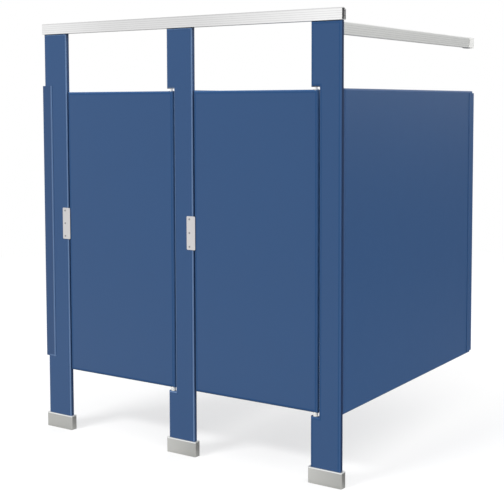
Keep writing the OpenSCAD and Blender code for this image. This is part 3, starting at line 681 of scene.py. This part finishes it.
# %% Keeper bolts
BOLT_PROFILE = [
    (0, 0.9), (1.5, 0.9), (1.7, 0.1), (2.4, 0.0), (3.4, 0.2), (4.3, 0.6), (4.8, 1.1), (5.0, 1.6), (5.0, 1.8),
    (3.0, 1.8), (3.0, 34.8),
    (5.0, 34.8), (5.0, 35.0), (4.8, 35.5), (4.3, 36.0), (3.4, 36.4), (2.4, 36.6), (0, 36.6),
]
DOME_R = 5.0 * MM
lo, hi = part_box("keeper_bolts")
bolt_x = (lo.x + DOME_R, hi.x - DOME_R)
bolt_z = np.linspace(lo.z + DOME_R, hi.z - DOME_R, 3)
spots = np.array([(x, lo.y, z) for x in bolt_x for z in bolt_z])
bolts = piece("keeper_through_bolts", placed(turned(BOLT_PROFILE), spots, (0, 1, 0)), bolt_steel,
              body_of("keeper_bolts"), "keeper_bolts")
print(bolts.name, "faces", len(bolts.data.polygons))

# %% Screws of the channels and of the side rail's bracket
SCREW_PROFILE = [
    (0, 1.3), (0.9, 1.2), (1.5, 0.1), (2.4, 0.0), (3.6, 0.25), (4.4, 0.8), (4.8, 1.7), (4.8, 2.4),
    (2.4, 2.4), (2.4, 15.0), (1.6, 17.2), (0, 18.4),
]
HEAD_H = 2.4 * MM
UP_AND_DOWN = np.array([-0.65, -0.225, 0.225, 0.65])
CHANNEL_MIDDLE, WALL_CHANNEL_MIDDLE = 1.0695, 1.1105
PILASTER_DROP, PANEL_DROP = 0.040, 0.080
wall_row = WALL_CHANNEL_MIDDLE - PILASTER_DROP + UP_AND_DOWN
pilaster_row = CHANNEL_MIDDLE - PILASTER_DROP + UP_AND_DOWN
panel_row = CHANNEL_MIDDLE - PANEL_DROP + UP_AND_DOWN
# for each way that screws point: x and y of the face under their heads, and their heights
TO_FRONT, TO_LEFT, TO_RIGHT = (0, -1, 0), (-1, 0, 0), (1, 0, 0)
SEATS = {
    TO_FRONT: {
        "left_wall_channel": (-0.865, -0.7295, wall_row),
        "divider_front_channel": (0.0, -0.7295, pilaster_row),
        "end_panel_corner_angle": (0.8521, -0.728, pilaster_row),
        "side_rail_pilaster_bracket": (0.879, -0.728, np.array([2.0592, 2.0832])),
    },
    TO_LEFT: {
        "divider_front_channel": (0.0142, -0.711, panel_row),
        "divider_wall_channel": (0.0142, 0.732, panel_row),
    },
    TO_RIGHT: {
        "end_panel_wall_channel": (0.8711, 0.732, panel_row),
        "end_panel_corner_angle": (0.8696, -0.707, panel_row),
    },
}


def column(x, y, heights):
    """Points at x, y and at each of the given heights."""
    return np.stack([np.full(len(heights), x), np.full(len(heights), y), heights], axis=-1)


screw = turned(SCREW_PROFILE, sides=20)
sets = []
for way, seats in SEATS.items():
    spots = np.concatenate([column(*seat) for seat in seats.values()])
    sets.append(placed(screw, spots - HEAD_H * np.array(way), way))
screws = piece("channel_screws", joined(*sets), plain_steel, body_of("fixing_screws"), "fixing_screws")
print(screws.name, "faces", len(screws.data.polygons))

# %% [markdown]
# ## Coat hooks
# Behind each door a stadium-shaped plate carries a stem with a rubber tip, which stops the door, and a
# prong that curls up below it for the coat. The plate is a turned disc pulled apart along its length,
# and the prong is a circle carried along a half ring, with its radius shrinking to nothing round
# each end to make the ball.

# %% Coat-hook shapes


def stretched(shape, axis, amount):
    """Pulls a shape apart: coordinate c on the axis becomes c + amount * sign(c)."""
    points, faces = shape
    points = points.copy()
    points[:, axis] += amount * np.sign(np.round(points[:, axis], 9))
    return points, faces


def hooked(bend, wire_r, sides=20, steps=28, caps=7):
    """A round wire in mm, bent to a half ring in the YZ plane that opens upwards, with balled ends.

    The path turns by t from pi to two pi at the bend's radius. On it the wire has its full radius.
    Past each end the path runs on straight by wire_r sin c while the radius falls as wire_r cos c.
    """
    t = np.linspace(np.pi, 2.0 * np.pi, steps)
    c = np.linspace(np.pi / 2.0, 0.0, caps)[:-1]
    turn = np.concatenate([np.full(len(c), np.pi), t, np.full(len(c), 2.0 * np.pi)])
    rise = np.concatenate([wire_r * np.sin(c), 0.0 * t, wire_r * np.sin(c[::-1])])
    radius = np.concatenate([wire_r * np.cos(c), np.full(len(t), wire_r), wire_r * np.cos(c[::-1])])
    angle = np.arange(sides) * 2.0 * np.pi / sides
    radius, turn, rise = radius[:, None], turn[:, None], rise[:, None]
    out = bend + radius * np.cos(angle)
    points = np.stack([radius * np.sin(angle), out * np.cos(turn), out * np.sin(turn) + rise], axis=-1)
    return points.reshape(-1, 3) * MM, closed_grid(len(radius), sides)


PLATE = [(0, 0), (17.4, 0), (18.0, 0.5), (18.0, 2.8), (17.5, 3.6), (16.6, 4.0), (0, 4.0)]
STEM = [(0, 3.2), (7.6, 3.2), (7.6, 4.4), (7.0, 5.2), (5.6, 5.8), (5.0, 6.8), (5.0, 50.0), (0, 50.0)]
TIP = [
    (0, 48.0), (9.4, 48.0), (10.6, 48.6), (11.0, 49.8),
    (11.0, 55.2), (10.5, 56.8), (9.2, 57.8), (7.0, 58.0), (0, 58.0),
]
HALF_DROP = 12.0 * MM
BASE_R = 18.0 * MM
BEND, WIRE_R = 15.0, 5.0
print("prong of", len(hooked(BEND, WIRE_R)[1]), "faces")

# %% Coat hooks, one on each door
for number in ("1", "2"):
    node = "coat_hook_" + number
    lo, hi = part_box(node)
    stem_at = np.array([(lo.x + hi.x) / 2, lo.y, hi.z - BASE_R])
    plate_at = stem_at - (0, 0, HALF_DROP)
    prong_at = stem_at + (0, (BEND + WIRE_R) * MM, -2 * HALF_DROP)
    plate = placed(stretched(turned(PLATE, sides=48), 1, HALF_DROP), plate_at, (0, 1, 0))
    stem = placed(turned(STEM), stem_at, (0, 1, 0))
    points, faces = hooked(BEND, WIRE_R)
    prong = (points + prong_at, faces)
    piece("coat_hook_metal_" + number, joined(plate, stem, prong), chrome, body_of(node), node)
    piece("coat_hook_tip_" + number, placed(turned(TIP), stem_at, (0, 1, 0)), rubber, body_of(node), node)
    print("coat hook", number, "reaches", round(float(hi.y - lo.y) / MM, 1), "mm from the door")

# %% [markdown]
# ## Latches
# A latch bolt slides in its case and is pushed by a knob whose stem runs in a slot. The bolt has a
# rounded nose to find its keeper, and the knob's rim is knurled for wet fingers. Case and keeper
# are cast and pressed metal with softened edges, so a copy of each solid gets a narrow bevel. The
# solid itself is hidden and left as it was. A copy is used because the solid itself has to stay as it
# was packed.

# %% Latch bolts with their knobs
BOLT = [(0, 0), (2.6, 0.1), (4.2, 0.7), (5.4, 2.0), (6.0, 4.2), (6.0, 57.4), (5.4, 58.0), (0, 58.0)]
KNOB = [
    (0, 0), (4.0, 0), (4.0, 15.6), (8.8, 15.0), (9.6, 15.5), (10.0, 16.6),
    (10.0, 22.0), (9.7, 23.0), (8.9, 23.8), (7.6, 24.0), (6.6, 23.5), (0, 23.2),
]
RIBS, RIB_DEPTH = 32, 0.5
STEM_FROM_NOSE = 52.0 * MM
BOLT_R = 6.0 * MM
for number in ("1", "2"):
    node = "latch_bolt_" + number
    lo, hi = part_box(node)
    middle_z = (lo.z + hi.z) / 2
    nose = (lo.x, lo.y + BOLT_R, middle_z)
    knob_at = (lo.x + STEM_FROM_NOSE, lo.y + BOLT_R, middle_z)
    knob = placed(turned(KNOB, sides=6 * RIBS, ribs=RIBS, rib_depth=RIB_DEPTH), knob_at, (0, 1, 0))
    slide = placed(turned(BOLT), nose, (1, 0, 0))
    piece("latch_slide_" + number, joined(slide, knob), chrome, body_of(node), node)
print("latch bolts made, ribs", RIBS)

# %% Softened edges on the cases and keepers
SOFTENED = {"latch_case_1": 1.2, "latch_case_2": 1.2, "keeper_1": 0.5, "keeper_2": 0.5}
ONE_PLANE, ROUNDED_ABOVE = np.radians(1.0), np.radians(50)
for node, width in SOFTENED.items():
    source = NODES[node]
    mesh = source.data.copy()
    mesh.name = node + "_soft"
    work = bmesh.new()
    work.from_mesh(mesh)
    bmesh.ops.remove_doubles(work, verts=work.verts, dist=SAME_POINT)
    bmesh.ops.dissolve_limit(work, angle_limit=ONE_PLANE, verts=work.verts, edges=work.edges)
    work.to_mesh(mesh)
    work.free()
    made = bpy.data.objects.new(mesh.name, mesh)
    bpy.context.scene.collection.objects.link(made)
    bevel = made.modifiers.new("softened", "BEVEL")
    bevel.width, bevel.segments = width * MM, 2
    bevel.limit_method, bevel.angle_limit = "ANGLE", ROUNDED_ABOVE
    bevel.harden_normals = True
    mesh.shade_smooth()
    mesh.set_sharp_from_angle(angle=CREASE)
    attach(made, body_of(node))
    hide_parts(node)
print("softened:", sorted(SOFTENED))

# %% [markdown]
# ## The room that gloss shows
# Paint and metal show what stands round them, and a studio that is white all round leaves them flat. A
# room could be built as walls round the object, but walls would throw light and shadow on it too. So
# the room is only worked out for mirrored rays, from where they go: even and pale, dimmer overhead,
# dark on the floor behind the cubicle's front line and beside it, and dusky, low down, to the right
# and rear. The camera and the lamps never meet it.

# %% Parts of that room
# heading, half width and soft rim of the dusky side, in degrees
DUSK = (142.0, 30.0, 15.0)
# from where, to where: how steeply a ray climbs, and how dusky it then is
DUSK_LOW, DUSK_HIGH = 0.80, 0.08
DUSK_BY_CLIMB = (0.0, 0.09, DUSK_LOW, DUSK_HIGH)
CEILING = 0.65
CEILING_BY_CLIMB = (0.3, 0.8, 1.0, CEILING)
# from where, to where in metres: 0 before the cubicle's front line, 1 behind it
BEHIND_FRONT = (-0.80, -0.66)
INDOORS = BEHIND_FRONT + (0.0, 1.0)
# the same along X: 0 under the cubicle, 1 on the floor to its right
BESIDE = (0.90, 1.20, 0.0, 1.0)
FAR_INDOORS = 0.5


def heading(tree, x, y):
    """Degrees from the front (-Y), positive towards the right (+X), of the direction x, y."""
    return math(tree, "DEGREES", math(tree, "ARCTAN2", x, math(tree, "MULTIPLY", y, -1.0)))


def sector(tree, angle, middle, half, soft):
    """1 where the heading is within half of middle, fading to 0 over soft degrees outside."""
    away = math(tree, "ABSOLUTE", math(tree, "SUBTRACT", angle, middle))
    return span(tree, away, half, half + soft, 1.0, 0.0)


def is_ray(tree, kind):
    """1 for rays of one kind, such as Camera or Glossy, else 0."""
    return add(tree, "ShaderNodeLightPath").outputs["Is " + kind + " Ray"]


def seen_ray(tree):
    """1 for rays of the camera and for those mirrored or let through on the way to it, else 0."""
    direct = math(tree, "MAXIMUM", is_ray(tree, "Camera"), is_ray(tree, "Glossy"))
    return math(tree, "MAXIMUM", direct, is_ray(tree, "Transmission"))


def where_mirrored(tree, value):
    """The value for mirrored rays, and 1 for all others."""
    return add(tree, "ShaderNodeMix", {"Factor": is_ray(tree, "Glossy"), "A": 1.0, "B": value}).outputs[0]


print("dusky from", DUSK[0] - DUSK[1], "to", DUSK[0] + DUSK[1], "degrees")

# %% [markdown]
# ## Floor
# The floor is a plain pale sheet that keeps the cubicle's soft shadow. To make it blend into the white
# behind it, part of its brightness is its own and only the rest comes from the lamps, so the shadow
# stays light. Farther out, all of its brightness is its own, and there it can't be told from the world.

# %% Floor
FLOOR_HALF = 60.0
WHITE = (1.0, 1.0, 1.0, 1.0)
FLOOR_GLOW = 0.54
FLOOR_PAINT = 0.46
FLOOR_BOUNCE = 0.18
FADE_FROM, FADE_TO = 2.5, 7.0

floor_mesh = bpy.data.meshes.new("floor")
corners = np.array([(-1, -1, 0), (1, -1, 0), (1, 1, 0), (-1, 1, 0)]) * FLOOR_HALF
floor_mesh.from_pydata(corners.tolist(), [], [(0, 1, 2, 3)])
floor = bpy.data.objects.new("floor", floor_mesh)
bpy.context.scene.collection.objects.link(floor)

floor_look = bpy.data.materials.new("pale_floor")
floor_look.use_nodes = True
floor.data.materials.append(floor_look)
tree = floor_look.node_tree
tree.nodes.clear()
xyz = object_xyz(tree)
indoors = span(tree, xyz["Y"], *INDOORS)
beside = math(tree, "MULTIPLY", indoors, span(tree, xyz["X"], *BESIDE))
print("floor of", 2 * FLOOR_HALF, "m")

# %% The floor near the cubicle: paint that takes the shadow, and a glow of its own
dull = math(tree, "MULTIPLY", is_ray(tree, "Glossy"), beside)
dull = math(tree, "MAXIMUM", is_ray(tree, "Diffuse"), dull)
matt = add(tree, "ShaderNodeBsdfDiffuse", {"Color": span(tree, dull, 0.0, 1.0, FLOOR_PAINT, FLOOR_BOUNCE)})
lit = math(tree, "MULTIPLY", seen_ray(tree), where_mirrored(tree, less(tree, indoors)))
lit = math(tree, "MULTIPLY", lit, FLOOR_GLOW)
glow = add(tree, "ShaderNodeEmission", {"Color": WHITE, "Strength": lit})
near = add(tree, "ShaderNodeAddShader", {0: matt.outputs[0], 1: glow.outputs[0]})
print("its paint", FLOOR_PAINT, "and its glow", FLOOR_GLOW, "make", FLOOR_PAINT + FLOOR_GLOW)

# %% The floor far out, and how one goes over into the other
dusky = math(tree, "MULTIPLY", sector(tree, heading(tree, xyz["X"], xyz["Y"]), *DUSK), DUSK_LOW)
behind = span(tree, xyz["Y"], *BEHIND_FRONT, 1.0, FAR_INDOORS)
beyond = where_mirrored(tree, math(tree, "MULTIPLY", less(tree, dusky), behind))
beyond = math(tree, "MULTIPLY", seen_ray(tree), beyond)
blank = add(tree, "ShaderNodeEmission", {"Color": WHITE, "Strength": beyond})
reach = add(tree, "ShaderNodeVectorMath", {0: object_place(tree)}, operation="LENGTH").outputs["Value"]
far = span(tree, reach, FADE_FROM, FADE_TO, 0.0, 1.0)
fade = add(tree, "ShaderNodeMixShader", {0: far, 1: near.outputs[0], 2: blank.outputs[0]})
add(tree, "ShaderNodeOutputMaterial", {"Surface": fade.outputs[0]})
print("floor look, nodes", len(tree.nodes))

# %% [markdown]
# ## Light
# The picture's shadow tells where its main lamp hangs: the doors' lower edges, 328 mm up, throw their
# line 345 mm behind the front, and the pilasters' shadows lean to the right. So the lamp is at the front,
# a little to the left and about 40 degrees up, and it is wide, because the shadow's edge is soft
# sideways. The rest is light from all around, which grows stronger towards the right, and a little
# towards the rear, so that the end panel and the backs of the doors aren't lost in the dark.

# %% Key lamp
AIM = np.array([0.0, -0.4, 1.0])
KEY_AZIMUTH, KEY_ELEVATION, KEY_DISTANCE = -20.0, 40.0, 14.0
KEY_SIZE = (5.2, 2.4)
KEY_WATTS = 1120.0


def lamp(name, azimuth, elevation, distance, size, watts):
    """A soft rectangular lamp that looks at AIM; azimuth turns from the front (-Y) to the right (+X)."""
    az, el = np.radians([azimuth, elevation])
    toward = np.array([np.sin(az) * np.cos(el), -np.cos(az) * np.cos(el), np.sin(el)])
    data = bpy.data.lights.new(name, "AREA")
    data.shape, data.size, data.size_y, data.energy = "RECTANGLE", size[0], size[1], watts
    made = bpy.data.objects.new(name, data)
    side = np.array([np.cos(az), np.sin(az), 0.0])
    place = np.eye(4)
    place[:3, :3] = np.stack([side, np.cross(toward, side), toward], axis=1)
    place[:3, 3] = AIM + toward * distance
    made.matrix_world = Matrix(place.tolist())
    bpy.context.scene.collection.objects.link(made)
    return made


key = lamp("key_lamp", KEY_AZIMUTH, KEY_ELEVATION, KEY_DISTANCE, KEY_SIZE, KEY_WATTS)
key.visible_glossy = False
print("key lamp at", [round(c, 2) for c in key.matrix_world.translation])

# %% World
AROUND = 0.46
FROM_RIGHT = 1.95
FROM_REAR = 0.7

world = bpy.data.worlds.new("studio")
bpy.context.scene.world = world
world.use_nodes = True
tree = world.node_tree
tree.nodes.clear()
direction = add(tree, "ShaderNodeTexCoord").outputs["Generated"]
to_right, to_rear, climb = add(tree, "ShaderNodeSeparateXYZ", {0: direction}).outputs
strength = math(tree, "MULTIPLY_ADD", math(tree, "MAXIMUM", to_right, 0.0), FROM_RIGHT, AROUND)
strength = math(tree, "MULTIPLY_ADD", math(tree, "MAXIMUM", to_rear, 0.0), FROM_REAR, strength)
fill = add(tree, "ShaderNodeBackground", {"Color": WHITE, "Strength": strength})
white = add(tree, "ShaderNodeBackground", {"Color": WHITE, "Strength": 1.0})
plain = add(tree, "ShaderNodeMixShader", {0: seen_ray(tree), 1: fill.outputs[0], 2: white.outputs[0]})

dusky = math(tree, "MULTIPLY", sector(tree, heading(tree, to_right, to_rear), *DUSK),
             span(tree, climb, *DUSK_BY_CLIMB))
mirror = math(tree, "MULTIPLY", less(tree, dusky), span(tree, climb, *CEILING_BY_CLIMB))
room = add(tree, "ShaderNodeBackground", {"Color": WHITE, "Strength": mirror})
either = add(tree, "ShaderNodeMixShader",
             {0: is_ray(tree, "Glossy"), 1: plain.outputs[0], 2: room.outputs[0]})
add(tree, "ShaderNodeOutputWorld", {"Surface": either.outputs[0]})
print("world look, nodes", len(tree.nodes))
